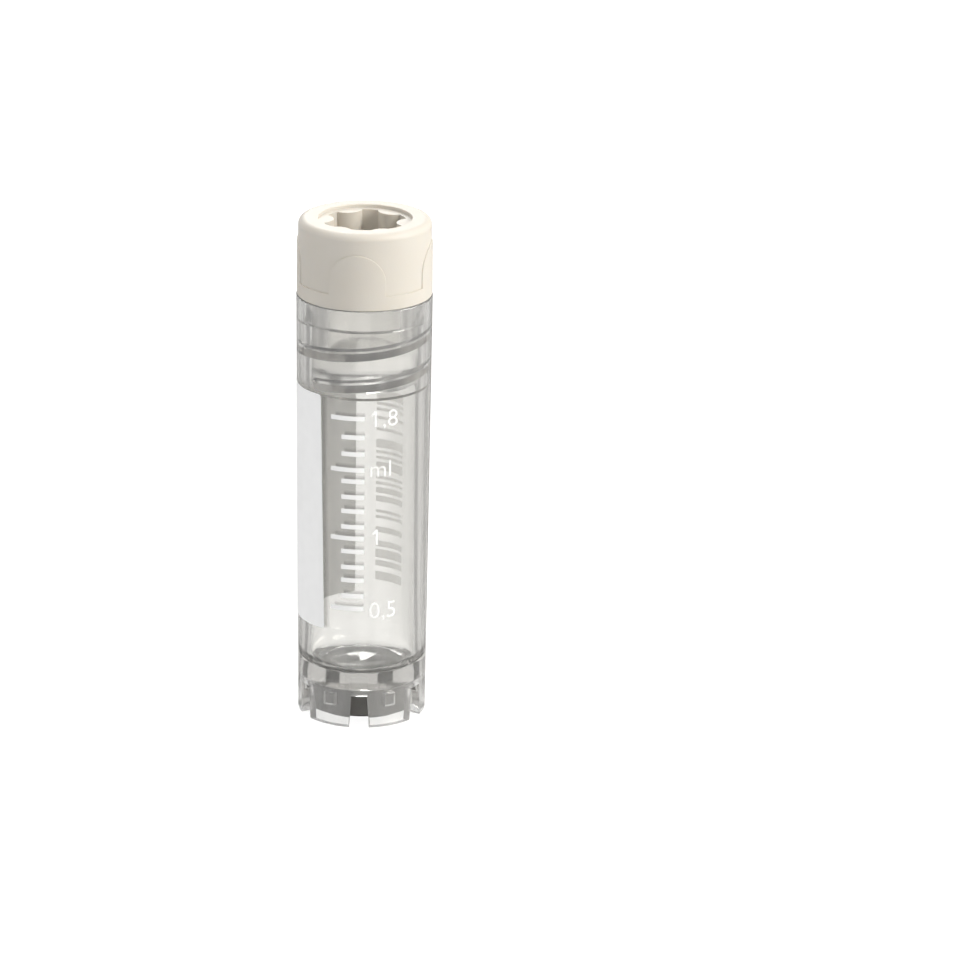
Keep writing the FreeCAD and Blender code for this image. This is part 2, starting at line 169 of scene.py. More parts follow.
def roll_onto_wall(obj, first_angle, bottom, sink=INK_SINK, rise=INK_RISE):
    """Rolls a flat mesh round the tube and gives the film its thickness."""
    left = min(v.co.x for v in obj.data.vertices)
    low = min(v.co.y for v in obj.data.vertices)
    middle = wall_radius(bottom + (max(v.co.y for v in obj.data.vertices) - low) / 2)
    for vertex in obj.data.vertices:
        height = bottom + vertex.co.y - low
        radius = wall_radius(height) + rise
        turn = math.radians(FRONT + first_angle) + (vertex.co.x - left) / middle
        vertex.co = (radius * math.cos(turn), radius * math.sin(turn), height)
    make_active(obj)
    bpy.ops.object.mode_set(mode="EDIT")
    bpy.ops.mesh.select_all(action="SELECT")
    bpy.ops.mesh.remove_doubles(threshold=SAME_SPOT)
    bpy.ops.object.mode_set(mode="OBJECT")
    film = obj.modifiers.new("film", "SOLIDIFY")
    film.thickness = rise + sink
    film.offset = -1
    bpy.ops.object.modifier_apply(modifier="film")


print("flat prints are cut every", BAND / MM, "mm before they are rolled")

# %% [markdown]
# ## The white writing panel
# A white field covers the left side of the tube, where a date can be written with a pen. Its
# right edge leans a little, because the screen was not quite square to the tube, and its corners
# are slightly round. A flat plane of its size is bevelled at the corners, then cut and rolled.

# %% Print the panel
PANEL_LEFT = -170.0
PANEL_RIGHT_TOP = -37.1
PANEL_RIGHT_FOOT = -33.6
PANEL_BOTTOM = 9.5 * MM
PANEL_TOP = 32.2 * MM
PANEL_CORNER = 0.3 * MM
CORNER_STEPS = 5

middle_radius = wall_radius((PANEL_BOTTOM + PANEL_TOP) / 2)
panel_width = math.radians(PANEL_RIGHT_FOOT - PANEL_LEFT) * middle_radius
panel_lean = math.radians(PANEL_RIGHT_FOOT - PANEL_RIGHT_TOP) * middle_radius
start_fresh()
bpy.ops.mesh.primitive_plane_add(size=1, location=(0, 0, 0))
white_panel = bpy.context.object
white_panel.name = "white_panel"
for vertex in white_panel.data.vertices:
    right, upper = vertex.co.x > 0, vertex.co.y > 0
    vertex.co = (right * (panel_width - upper * panel_lean), upper * (PANEL_TOP - PANEL_BOTTOM), 0)
bpy.ops.object.mode_set(mode="EDIT")
bpy.ops.mesh.select_all(action="SELECT")
bpy.ops.mesh.bevel(offset=PANEL_CORNER, segments=CORNER_STEPS, affect="VERTICES")
bpy.ops.object.mode_set(mode="OBJECT")
cut_into_bands(white_panel, BAND)
roll_onto_wall(white_panel, PANEL_LEFT, PANEL_BOTTOM)
print("panel", round(panel_width / MM, 1), "mm round, faces:", len(white_panel.data.polygons))

# %% [markdown]
# ## The volume scale
# Fourteen fine lines show the volume. The lowest, each fifth one above it and the highest are
# longer. They are not evenly spaced: each line has its own height. The same strip tool makes
# them, once for each line.

# %% Print the scale's lines
TICK_HEIGHTS = [11.86, 13.09, 14.63, 15.91, 17.46, 18.74, 19.85,      # in mm above the table
                21.38, 22.75, 24.28, 25.39, 26.92, 28.54, 30.34]
LONG_TICKS = (0, 5, 10, 13)
TICK_THICKNESS = 0.42 * MM
TICK_RIGHT = 3.2
TICK_LEFT = -16.8
LONG_TICK_LEFT = -26.6

ticks = []
for number, height in enumerate(TICK_HEIGHTS):
    left = LONG_TICK_LEFT if number in LONG_TICKS else TICK_LEFT
    middle = height * MM
    ticks.append(shell_strip(left, TICK_RIGHT, middle - TICK_THICKNESS / 2,
                             middle + TICK_THICKNESS / 2))
scale_lines = join_pieces(ticks, "scale_lines")
print("scale lines:", len(TICK_HEIGHTS), "faces:", len(scale_lines.data.polygons))

# %% [markdown]
# ## The scale's numbers
# The numbers are plain figures beside the lines, with a comma for the decimal point. A text
# object gives their outlines. It is made a mesh and then rolled like the panel. The built-in
# font draws its 1 as a bare stroke, so a small slanted flag is added where a 1 stands.

# %% A tool for figures
ONE_STEM = 0.202       # left edge of the stroke of a 1, and its height, for a size of 1
ONE_TOP = 0.682
FLAG_WIDTH = 0.14
FLAG_DROP = 0.13
FLAG_TAPER = 0.02      # how far each side of the flag comes in at its tip
CURVE_STEPS = 6        # how finely the outline of a figure is cut


def figure_mesh(words, size, ones=(), trim=0.0):
    """Flat figures as a mesh in the XY plane.

    ones says where each 1 starts, for a size of 1, and trim thins the strokes on each side.
    """
    start_fresh()
    bpy.ops.object.text_add(location=(0, 0, 0))
    figure = bpy.context.object
    figure.data.body = words
    figure.data.size = size
    figure.data.resolution_u = CURVE_STEPS
    figure.data.offset = -trim
    bpy.ops.object.convert(target="MESH")
    pieces = [bpy.context.object]
    for start in ones:
        start_fresh()
        bpy.ops.mesh.primitive_plane_add(size=1, location=(0, 0, 0))
        flag = bpy.context.object
        stem = start + ONE_STEM + trim / size
        tip = stem - FLAG_WIDTH
        corners = [
            (tip, ONE_TOP - 2 * FLAG_DROP + FLAG_TAPER), (stem, ONE_TOP - FLAG_DROP),
            (tip, ONE_TOP - FLAG_DROP - FLAG_TAPER), (stem, ONE_TOP),
        ]
        for vertex, (across, up) in zip(flag.data.vertices, corners):
            vertex.co = (across * size, up * size, 0)
        pieces.append(flag)
    return join_pieces(pieces, "figure")


# %% Print the scale's numbers
FIGURE_SIZE = 2.27 * MM
STROKE_TRIM = 0.02 * MM
FIGURES = [      # the words, their first angle, their foot in mm, and where a 1 starts in them
    ("1,8", 8.8, 29.32, [0.0]),
    ("ml", 8.4, 24.75, []),
    ("1", 10.6, 18.1, [0.0]),
    ("0,5", 8.4, 10.68, []),
]

figures = []
for words, first_angle, bottom, ones in FIGURES:
    figure = figure_mesh(words, FIGURE_SIZE, ones, STROKE_TRIM)
    cut_into_bands(figure, BAND)
    roll_onto_wall(figure, first_angle, bottom * MM)
    figures.append(figure)
    print(words, "faces:", len(figure.data.polygons))
scale_figures = join_pieces(figures, "scale_figures")

# %% [markdown]
# ## The bar code
# On the back a ladder of dark bars waits for a reader. The code is invented: bar widths come from
# a seeded random choice. From the front the bars are seen from behind, through the clear wall.

# %% Print the bars
CODE_LEFT = 133.5
CODE_RIGHT = 168.5
CODE_BOTTOM = 10.8 * MM
CODE_TOP = 30.3 * MM
MODULE = 0.28 * MM
WIDTHS = (1, 1, 2, 3)      # of bars and gaps, in modules; half of them are narrow
END_ROOM = 4 * MODULE      # no bar starts nearer to the top than this
BAR_SEED = 12

chooser = random.Random(BAR_SEED)
bars = []
height = CODE_BOTTOM
while height < CODE_TOP - END_ROOM:
    width = MODULE * chooser.choice(WIDTHS)
    bars.append(shell_strip(CODE_LEFT, CODE_RIGHT, height, height + width))
    height += width + MODULE * chooser.choice(WIDTHS)
code_bars = join_pieces(bars, "code_bars")
print("bars:", len(bars), "from", CODE_BOTTOM / MM, "to", round(height / MM, 2), "mm")

# %% [markdown]
# ## The plain number on the panel
# Beside the bars, on the edge of the white panel, stands a number that a person can read. Here it
# is a plain count of the ten digits, and it runs up the tube. It is made like the scale's
# numbers, but turned a quarter before it is rolled.

# %% Print the upright number
NUMBER_SIZE = 1.5 * MM
NUMBER_ANGLE = -166.0
NUMBER_BOTTOM = 13.0 * MM
NUMBER_LOW = INK_RISE + 0.001 * MM         # it lies on the panel's ink without touching it
NUMBER_HIGH = NUMBER_LOW + 0.014 * MM
SECOND_FIGURE = 0.5    # where the 1 starts, for a size of 1

upright_number = figure_mesh("0123456789", NUMBER_SIZE, [SECOND_FIGURE])
for vertex in upright_number.data.vertices:
    vertex.co = (-vertex.co.y, vertex.co.x, 0)
cut_into_bands(upright_number, BAND)
roll_onto_wall(upright_number, NUMBER_ANGLE, NUMBER_BOTTOM, sink=-NUMBER_LOW, rise=NUMBER_HIGH)
upright_number.name = "upright_number"
print("upright number faces:", len(upright_number.data.polygons))

# %% [markdown]
# ## The square code under the foot
# A scanner under the rack reads a small square of dark and light cells on the dark disc. A grid
# plane already has one face for each cell, so the code is drawn by picking faces and pulling
# them out a little. Two solid edges and two broken ones are what makes such a square look like
# one; the cells between are chosen by a seeded random number and mean nothing.

# %% Make the square code
CELLS = 14
CODE_SIDE = 3.05 * MM
CODE_TURN = 14.0
CARD_RISE = 0.03 * MM
CELL_RISE = 0.012 * MM
DARK_SHARE = 0.5
CELL_SEED = 5
disc_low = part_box("base_insert")[0]

start_fresh()
bpy.ops.mesh.primitive_grid_add(x_subdivisions=CELLS + 2, y_subdivisions=CELLS + 2, size=CODE_SIDE)
square_code = bpy.context.object
square_code.name = "square_code"
cell_picker = random.Random(CELL_SEED)


def is_dark(column, row):
    """Whether a cell of the square is dark: an L of dark cells, broken edges, and chance."""
    if column in (-1, CELLS) or row in (-1, CELLS):
        return False
    if column == 0 or row == 0:
        return True
    if column == CELLS - 1 or row == CELLS - 1:
        return (column + row) % 2 == 1
    return cell_picker.random() < DARK_SHARE


cell = CODE_SIDE / (CELLS + 2)
dark_cells = []
for face in square_code.data.polygons:
    column = int((face.center.x + CODE_SIDE / 2) / cell) - 1
    row = int((face.center.y + CODE_SIDE / 2) / cell) - 1
    if is_dark(column, row):
        dark_cells.append(face.index)
print("dark cells:", len(dark_cells), "of", CELLS * CELLS)

# %% [markdown]
# The picked faces are extruded as one region, so neighbouring cells share their walls, and get
# the second finish. Then the card gets its thickness, is turned and laid face down on the disc.

# %% Raise the dark cells and lay the card
FACING = 0.5       # a face looks in a direction when its normal follows it by more than this

bpy.ops.object.mode_set(mode="EDIT")
bpy.ops.mesh.select_mode(type="FACE")
bpy.ops.mesh.select_all(action="SELECT")
bpy.ops.mesh.extrude_region_move(TRANSFORM_OT_translate={"value": (0, 0, CARD_RISE)})
bpy.ops.mesh.select_all(action="DESELECT")
bpy.ops.object.mode_set(mode="OBJECT")
picked = {(round(square_code.data.polygons[i].center.x / cell, 2),
           round(square_code.data.polygons[i].center.y / cell, 2)) for i in dark_cells}
for face in square_code.data.polygons:
    place = (round(face.center.x / cell, 2), round(face.center.y / cell, 2))
    face.select = face.center.z > CARD_RISE / 2 and face.normal.z > FACING and place in picked
bpy.ops.object.mode_set(mode="EDIT")
bpy.ops.mesh.extrude_region_move(TRANSFORM_OT_translate={"value": (0, 0, CELL_RISE)})
bpy.ops.object.mode_set(mode="OBJECT")
make_active(square_code)
bpy.ops.object.mode_set(mode="EDIT")
bpy.ops.mesh.select_all(action="SELECT")
bpy.ops.mesh.normals_make_consistent(inside=False)
bpy.ops.object.mode_set(mode="OBJECT")
dark_top = CARD_RISE + CELL_RISE / 2
cell_faces = [face.index for face in square_code.data.polygons if face.center.z > dark_top]
square_code.rotation_euler = (math.pi, 0, math.radians(CODE_TURN))
square_code.location = (0, 0, disc_low.z)
make_active(square_code)
bpy.ops.object.transform_apply(location=True, rotation=True, scale=True)
print("card at", [round(value / MM, 2) for value in square_code.bound_box[0]])

# %% [markdown]
# ## Finishes: effects shared by several materials
# Moulded plastic is never one even colour or one even gloss. Two effects come back on every part,
# so each is a node group, built once. `moulded_skin` is what the mould's steel leaves: a fine
# grain and a slow waviness. `handling` is what use leaves: thin scratches that run at random, and
# faint smears. They give only masks and heights; each material decides what to do with them.

# %% Tools for nodes
def add_node(tree, kind, links=(), **values):
    """Adds a shader node, sets its properties and sockets, and links sockets into it."""
    node = tree.nodes.new("ShaderNode" + kind)
    for key, value in values.items():
        if key in node.inputs:
            node.inputs[key].default_value = value
        else:
            setattr(node, key, value)
    for key, source in links:
        tree.links.new(source, node.inputs[key])
    return node


def math_node(tree, operation, *values):
    """A Math node's output; each value is a socket or a number."""
    node = add_node(tree, "Math", operation=operation)
    for socket, value in zip(node.inputs, values):
        if isinstance(value, bpy.types.NodeSocket):
            tree.links.new(value, socket)
        else:
            socket.default_value = value
    return node.outputs[0]


def ranged(tree, source, low, high, start=0.3, end=0.7, **settings):
    """A value that goes from low to high while the source goes from start to end."""
    node = add_node(tree, "MapRange", [("Value", source)], **settings)
    for name, value in (("From Min", start), ("From Max", end), ("To Min", low), ("To Max", high)):
        node.inputs[name].default_value = value
    return node.outputs[0]


def noise(tree, place, scale, detail):
    """A noise texture's value, from 0 to 1."""
    links = [("Vector", place), ("Scale", scale)]
    return add_node(tree, "TexNoise", links, Detail=detail).outputs["Fac"]


def object_place(tree):
    """The output of a point's place on the object, whose origin is on the tube's axis."""
    return add_node(tree, "TexCoord").outputs["Object"]


print("tools for nodes are ready")

# %% Build the group of what the mould leaves
def new_group(name, inputs, outputs):
    """A node group with float inputs (name, value) and float outputs."""
    group = bpy.data.node_groups.new(name, "ShaderNodeTree")
    kind = "NodeSocketFloat"
    for label, value in inputs:
        socket = group.interface.new_socket(name=label, in_out="INPUT", socket_type=kind)
        socket.default_value = value
    for label in outputs:
        group.interface.new_socket(name=label, in_out="OUTPUT", socket_type=kind)
    return group, group.nodes.new("NodeGroupInput"), group.nodes.new("NodeGroupOutput")


GRAIN_DETAIL = 3.0
WAVE_DETAIL = 1.0

skin, skin_in, skin_out = new_group(
    "moulded_skin", [("Grain Scale", 4000.0), ("Wave Scale", 300.0)], ["Grain", "Wave"])
skin_place = object_place(skin)
grain = noise(skin, skin_place, skin_in.outputs["Grain Scale"], GRAIN_DETAIL)
wave = noise(skin, skin_place, skin_in.outputs["Wave Scale"], WAVE_DETAIL)
skin.links.new(grain, skin_out.inputs["Grain"])
skin.links.new(wave, skin_out.inputs["Wave"])
print("group moulded_skin:", len(skin.nodes), "nodes")

# %% [markdown]
# Scratches are thin, so they come from the place where a stretched noise crosses its middle value:
# the distance from that value is small only along fine lines. The smears are a wide soft noise.

# %% Build the group of what use leaves
HANDLING_DETAIL = 2.0
NOISE_MIDDLE = 0.5
SCRATCH_WIDTH = 0.006      # how far from its middle value the noise still counts as a scratch

handling, handling_in, handling_out = new_group(
    "handling", [("Scratch Scale", 350.0), ("Smear Scale", 120.0)], ["Scratch", "Smear"])
handled_place = object_place(handling)
stretched = add_node(handling, "Mapping", [("Vector", handled_place)], Scale=(1.0, 1.0, 0.12),
                     Rotation=(0.5, 0.3, 0.0))
lines = noise(handling, stretched.outputs[0], handling_in.outputs["Scratch Scale"], HANDLING_DETAIL)
closeness = math_node(handling, "ABSOLUTE", math_node(handling, "SUBTRACT", lines, NOISE_MIDDLE))
scratch = ranged(handling, closeness, 1.0, 0.0, 0.0, SCRATCH_WIDTH)
smear = noise(handling, handled_place, handling_in.outputs["Smear Scale"], HANDLING_DETAIL)
handling.links.new(scratch, handling_out.inputs["Scratch"])
handling.links.new(smear, handling_out.inputs["Smear"])
print("group handling:", len(handling.nodes), "nodes")

# %% [markdown]
# ## One recipe for plastics and inks
# Each finish below is a Principled shader whose colour wanders a little between two close values,
# whose roughness follows the smears and scratches, and whose normal follows the grain. A helper
# builds that chain; what makes a clear, a cloudy, a cream or a dark plastic are its numbers. What
# is the same all over, such as the index of refraction, is set on the shader.

# %% The recipe
def mix_colours(tree, share, *colours):
    """A colour that goes from the first to the second; each is a socket or three numbers."""
    mixer = add_node(tree, "Mix", [(0, share)], data_type="RGBA")
    sockets = [socket for socket in mixer.inputs if socket.type == "RGBA"]
    for socket, colour in zip(sockets, colours):
        if isinstance(colour, bpy.types.NodeSocket):
            tree.links.new(colour, socket)
        else:
            socket.default_value = (*colour, 1.0)
    return next(socket for socket in mixer.outputs if socket.type == "RGBA")


def add_group(tree, group, **values):
    """Places a node group in a material and sets its inputs."""
    node = add_node(tree, "Group", node_tree=group)
    for key, value in values.items():
        node.inputs[key.replace("_", " ")].default_value = value
    return node


def finish(name, colours, roughness, grain, wave=(300.0, 0.0), scratches=0.0, **shader_values):
    """A moulded or printed finish.

    colours are the two that the surface wanders between, roughness its lowest and highest,
    grain the scale and depth in metres of the fine texture, wave those of the slow one,
    and scratches how much a scratch adds to the roughness.
    """
    material = bpy.data.materials.new(name)
    material.use_nodes = True
    tree = material.node_tree
    shader = tree.nodes["Principled BSDF"]
    for key, value in shader_values.items():
        shader.inputs[key.replace("_", " ")].default_value = value
    surface = add_group(tree, skin, Grain_Scale=grain[0], Wave_Scale=wave[0])
    worn = add_group(tree, handling)
    tint = mix_colours(tree, ranged(tree, surface.outputs["Wave"], 0.0, 1.0), *colours)
    tree.links.new(tint, shader.inputs["Base Color"])
    smeared = ranged(tree, worn.outputs["Smear"], *roughness)
    scratched = math_node(tree, "MULTIPLY_ADD", worn.outputs["Scratch"], scratches, smeared)
    tree.links.new(scratched, shader.inputs["Roughness"])
    normal = None
    for label, depth in (("Wave", wave[1]), ("Grain", grain[1])):
        if depth:
            links = [("Height", surface.outputs[label])]
            if normal:
                links.append(("Normal", normal))
            normal = add_node(tree, "Bump", links, Strength=1.0, Distance=depth).outputs[0]
    if normal:
        tree.links.new(normal, shader.inputs["Normal"])
    print(f"finish {name}: {len(tree.nodes)} nodes")
    return material


def dress(piece, *materials):
    """Gives a piece its finishes in place of any it had."""
    piece.data.materials.clear()
    for material in materials:
        piece.data.materials.append(material)


# %% [markdown]
# ## Clear plastic of the tube
# The tube is polypropylene made clear: light passes with little loss, but the plastic is softer
# than glass, so its gloss is a shade milky, and the mould leaves a slow waviness. A tenth of the
# light scatters at the surface of the wall. The bowl at its bottom is formed by the polished tip
# of the core and comes out clearer, and the lugs below it, which rub on racks, are milkier. So
# two shaders that differ only in how clear they are get mixed by height. A volume absorption
# makes long paths through the plastic darker and warmer than short ones.

# %% Build the tube's two shaders
PLASTIC_IOR = 1.49
LUGS_CLEAR = 0.87      # the share of light that passes a surface of the lugs,
BOWL_CLEAR = 0.95      # of the bowl
WALL_CLEAR = 0.90      # and of the wall

clear_plastic = finish(
    "clear_plastic", [(0.985, 0.985, 0.975), (0.965, 0.965, 0.955)], (0.02, 0.05),
    grain=(2500.0, 0.0), wave=(220.0, 0.004 * MM), scratches=0.1,
    Transmission_Weight=BOWL_CLEAR, IOR=PLASTIC_IOR)
tree = clear_plastic.node_tree
clearest = tree.nodes["Principled BSDF"]
shared = [(name, clearest.inputs[name].links[0].from_socket)
          for name in ("Base Color", "Roughness", "Normal")]
milkiest = add_node(tree, "BsdfPrincipled", shared, IOR=PLASTIC_IOR)
milkiest.inputs["Transmission Weight"].default_value = LUGS_CLEAR
print("clearness from", LUGS_CLEAR, "to", BOWL_CLEAR)

# %% Mix them by height and finish the tube
LUGS_TOP = 3.6 * MM    # heights between which the plastic goes from the lugs' to the bowl's
BOWL_LOW = 4.2 * MM
BOWL_HIGH = 6.6 * MM   # and from the bowl's to the wall's
WALL_LOW = 8.2 * MM
DEPTH_COLOUR = (0.5, 0.475, 0.43, 1)
DEPTH_DENSITY = 78.0

across, back, up = add_node(tree, "SeparateXYZ", [(0, object_place(tree))]).outputs
wall_share = (WALL_CLEAR - LUGS_CLEAR) / (BOWL_CLEAR - LUGS_CLEAR)
lugs_to_bowl = ranged(tree, up, 0.0, 1.0, LUGS_TOP, BOWL_LOW)
bowl_to_wall = ranged(tree, up, 0.0, 1.0 - wall_share, BOWL_HIGH, WALL_LOW)
clearness = math_node(tree, "SUBTRACT", lugs_to_bowl, bowl_to_wall)
plastic = add_node(tree, "MixShader", [(0, clearness), (1, milkiest.outputs[0]),
                                       (2, clearest.outputs[0])])
depths = add_node(tree, "VolumeAbsorption", Color=DEPTH_COLOUR, Density=DEPTH_DENSITY)
tree.links.new(plastic.outputs[0], tree.nodes["Material Output"].inputs["Surface"])
tree.links.new(depths.outputs[0], tree.nodes["Material Output"].inputs["Volume"])
dress(nodes["tube"], clear_plastic)
print("the clearest shader's share in the wall:", round(wall_share, 3))

# %% [markdown]
# ## Painted shadows behind the prints
# Ink keeps light off the inside of the wall right behind it. The camera looks down a little and
# across the round wall, so these shadows come out above each line of the scale and beside the
# panel. They are painted shadows, which darken the tube's colour rather than being cast by the
# lamps: where the distance from the axis says that a point is on the inside, its height and its
# angle from the front tell whether there is ink before it.

# %% Find the inside of the wall
INSIDE = 5.2 * MM      # the inner face of the wall is nearer to the axis than this
OUTSIDE = 5.6 * MM     # and its outer face is further from it than this
SHADOW_CORE = 0.06 * MM        # half the height of a line's shadow, to where it starts to fade
SHADOW_EDGE = 0.36 * MM        # and to where it ends
SOFT = math.radians(1.0)       # how far a shadow's sides fade


def between(tree, value, rise, fall):
    """1 where a value is between two limits, each the start and end of a fade, and else 0."""
    risen = ranged(tree, value, 0.0, 1.0, *rise)
    return math_node(tree, "MULTIPLY", risen, ranged(tree, value, 1.0, 0.0, *fall))


flat = add_node(tree, "CombineXYZ", [("X", across), ("Y", back)])
from_axis = add_node(tree, "VectorMath", [(0, flat.outputs[0])], operation="LENGTH")
on_inside = ranged(tree, from_axis.outputs["Value"], 1.0, 0.0, INSIDE, OUTSIDE)
turn = math_node(tree, "ARCTAN2", across, math_node(tree, "MULTIPLY", back, -1.0))
print("inside of the wall: within", INSIDE / MM, "mm of the axis")

# %% Mask the shadows of the scale's lines
LINE_SHADE = 0.8       # their strength, as a share of the panel's shadow

line_shades = []
for long in (False, True):
    lines = 0.0
    for number, middle in enumerate(TICK_HEIGHTS):
        if (number in LONG_TICKS) == long:
            away = math_node(tree, "ABSOLUTE", math_node(tree, "SUBTRACT", up, middle * MM))
            line = ranged(tree, away, 1.0, 0.0, SHADOW_CORE, SHADOW_EDGE)
            lines = math_node(tree, "MAXIMUM", lines, line)
    left = math.radians(LONG_TICK_LEFT if long else TICK_LEFT)
    right = math.radians(TICK_RIGHT)
    behind_ink = between(tree, turn, (left - SOFT, left), (right, right + SOFT))
    line_shades.append(math_node(tree, "MULTIPLY", lines, behind_ink))
any_line = math_node(tree, "MULTIPLY", math_node(tree, "MAXIMUM", *line_shades), LINE_SHADE)
print("shadows behind", len(TICK_HEIGHTS), "lines")

# %% Mask the panel's shadow and paint all shadows into the tube's colour
SHADOW = (0.34, 0.33, 0.315)
PANEL_SHADOW = math.radians(8.0)       # how wide it is
PANEL_FADE = math.radians(4.0)         # and how far before the panel's edge it starts to fade

edge = ranged(tree, up, math.radians(PANEL_RIGHT_FOOT), math.radians(PANEL_RIGHT_TOP),
              PANEL_BOTTOM, PANEL_TOP)
past_edge = math_node(tree, "SUBTRACT", turn, edge)
beside_edge = between(tree, past_edge, (-PANEL_SHADOW, SOFT - PANEL_SHADOW), (-PANEL_FADE, SOFT))
at_panel = between(tree, up, (PANEL_BOTTOM - SHADOW_EDGE, PANEL_BOTTOM),
                   (PANEL_TOP - SHADOW_EDGE, PANEL_TOP))
any_shade = math_node(tree, "MAXIMUM", math_node(tree, "MULTIPLY", beside_edge, at_panel), any_line)
shade = math_node(tree, "MULTIPLY", any_shade, on_inside)
# painted shadow: the tube's colour goes towards SHADOW where ink stands before the inside of the
# wall
shaded = mix_colours(tree, shade, clearest.inputs["Base Color"].links[0].from_socket, SHADOW)
for shader in (clearest, milkiest):
    tree.links.new(shaded, shader.inputs["Base Color"])
print("clear plastic with its shadows:", len(tree.nodes), "nodes")

# %% [markdown]
# ## Cloudy plastic of the plug
# The plug under the cap is clear too, but its core and thread aren't polished. A little light
# scatters back from it, and a higher roughness blurs what is behind.

# %% Finish the plug
cloudy_plastic = finish(
    "cloudy_plastic", [(0.99, 0.98, 0.96), (0.97, 0.96, 0.94)], (0.12, 0.18),
    grain=(1800.0, 0.0), wave=(260.0, 0.003 * MM), scratches=0.05,
    Transmission_Weight=0.97, IOR=PLASTIC_IOR)
dress(nodes["plug"], cloudy_plastic)

# %% [markdown]
# ## Cream plastic of the cap
# The cap is coloured right through. Its skin comes from a spark-eroded mould, so it has a fine
# even grain and a soft sheen rather than a gloss, and light goes a fraction of a millimetre into
# it before it comes back, which softens the recess and the raised arches.

# %% Finish the cap
cream_plastic = finish(
    "cream_plastic", [(0.60, 0.565, 0.506), (0.575, 0.54, 0.481)], (0.42, 0.52),
    grain=(5200.0, 0.006 * MM), wave=(180.0, 0.0), scratches=0.12,
    Subsurface_Weight=0.15, Subsurface_Radius=(1.0, 0.7, 0.45),
    Subsurface_Scale=0.6 * MM, IOR=PLASTIC_IOR)
dress(nodes["cap"], cream_plastic)

# %% [markdown]
# ## Dark disc and soft ring
# The disc under the foot is black plastic, a little warm, satin rather than shiny, with a finer
# grain than the cap. The ring between rim and cap is silicone: soft, whitish and half clear.

# %% Finish the disc and the ring
dark_plastic = finish(
    "dark_plastic", [(0.10, 0.096, 0.088), (0.125, 0.12, 0.11)], (0.34, 0.46),
    grain=(4200.0, 0.005 * MM), wave=(400.0, 0.0), scratches=0.15, IOR=1.52)
soft_seal = finish(
    "soft_seal", [(0.86, 0.86, 0.84), (0.80, 0.80, 0.78)], (0.4, 0.55),
    grain=(3000.0, 0.003 * MM), Transmission_Weight=0.5, IOR=1.41)
dress(nodes["base_insert"], dark_plastic)
dress(nodes["sealing_ring"], soft_seal)

# %% [markdown]
# ## Inks
# Screen ink is opaque and half matt, and the weave of the screen leaves a faint regular relief
# and tiny thin spots. White ink is thin enough for some light to pass, so its back, which is seen
# through the clear wall, glows a little. That glow is painted, as a faint emission in a finish of
# its own for that side. The back of the bars, where the white primer under the black veils it,
# gets its own finish too, also with a painted glow.

# %% Mix the inks
WARM_LIGHT = (1, 0.99, 0.97, 1)

white_ink = finish(
    "white_ink", [(0.92, 0.92, 0.915), (0.90, 0.90, 0.895)], (0.42, 0.55),
    grain=(6000.0, 0.004 * MM), wave=(900.0, 0.0), scratches=0.2)
# painted glow: a faint emission stands in for light that passes through the white ink from inside
# the tube
ink_back_painted_glow = finish(
    "ink_back_painted_glow", [(0.90, 0.895, 0.88), (0.86, 0.855, 0.84)], (0.45, 0.55),
    grain=(6000.0, 0.0), wave=(500.0, 0.0),
    Emission_Color=WARM_LIGHT, Emission_Strength=0.11)
dark_ink = finish(
    "dark_ink", [(0.03, 0.03, 0.03), (0.05, 0.05, 0.05)], (0.4, 0.52),
    grain=(6000.0, 0.004 * MM), wave=(900.0, 0.0), scratches=0.2)
# the back of the bars: the grey of white primer veiled by the black ink, plus a painted glow from a
# faint emission
veiled_ink_painted_glow = finish(
    "veiled_ink_painted_glow", [(0.80, 0.79, 0.775), (0.74, 0.73, 0.715)], (0.45, 0.55),
    grain=(6000.0, 0.0), wave=(500.0, 0.0),
    Emission_Color=WARM_LIGHT, Emission_Strength=0.32)

# %% Dress the prints
dress(white_panel, white_ink, ink_back_painted_glow)
dress(scale_lines, white_ink)
dress(scale_figures, white_ink)
dress(upright_number, dark_ink)
dress(code_bars, dark_ink, veiled_ink_painted_glow)
dress(square_code, white_ink, dark_ink)

for piece in (white_panel, code_bars):
    for face in piece.data.polygons:
        outward = Vector((face.center.x, face.center.y, 0)).normalized()
        face.material_index = 1 if face.normal.dot(outward) < -FACING else 0
for index in cell_faces:
    square_code.data.polygons[index].material_index = 1
print("dark cells dressed:", len(cell_faces))

# %% [markdown]
# ## What moves with what
# Everything printed is on the tube or on its disc, so all of it rides on the body that stays
# still when the cap is screwed off. Curved films are shaded smooth, except across sharp edges.

# %% Fix the prints to the vial
SHARPEST = math.radians(30)        # edges that turn by more than this stay sharp
SLOTS = {
    white_panel: "print_white", scale_lines: "print_white", scale_figures: "print_white",
    upright_number: "print_dark", code_bars: "print_dark", square_code: "print_white",
}

for piece, slot_name in SLOTS.items():
    make_active(piece)
    if piece is not square_code:
        bpy.ops.object.shade_smooth_by_angle(angle=SHARPEST)
    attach(piece, "vial")
    print(piece.name, "has", len(piece.data.polygons), "faces")

# %% [markdown]
# ## The table and the background
# A small part is shown on plain white. Clear plastic shows whatever is behind it, so the floor
# and the world look white to the camera and straight through the plastic. Light that was turned
# back inside a wall comes from the side, where a studio is grey, and this is what draws a clear
# tube's edges. That room isn't even: bright windows and dark gaps stand round the vial, and a
# thick piece of clear plastic mirrors them as patches and upright streaks.
#
# Light Path tells those rays apart: Glossy Depth counts how often a ray was mirrored on its way,
# and Diffuse Depth how often it was scattered, which gathers light from all round and so sees the
# white too. To every other ray the floor is an ordinary pale matt surface, so it keeps the vial's
# soft shadow.

# %% A switch for rays that come straight through
AT_LEAST_ONCE = 0.5        # a depth is a whole number, so one above this has happened


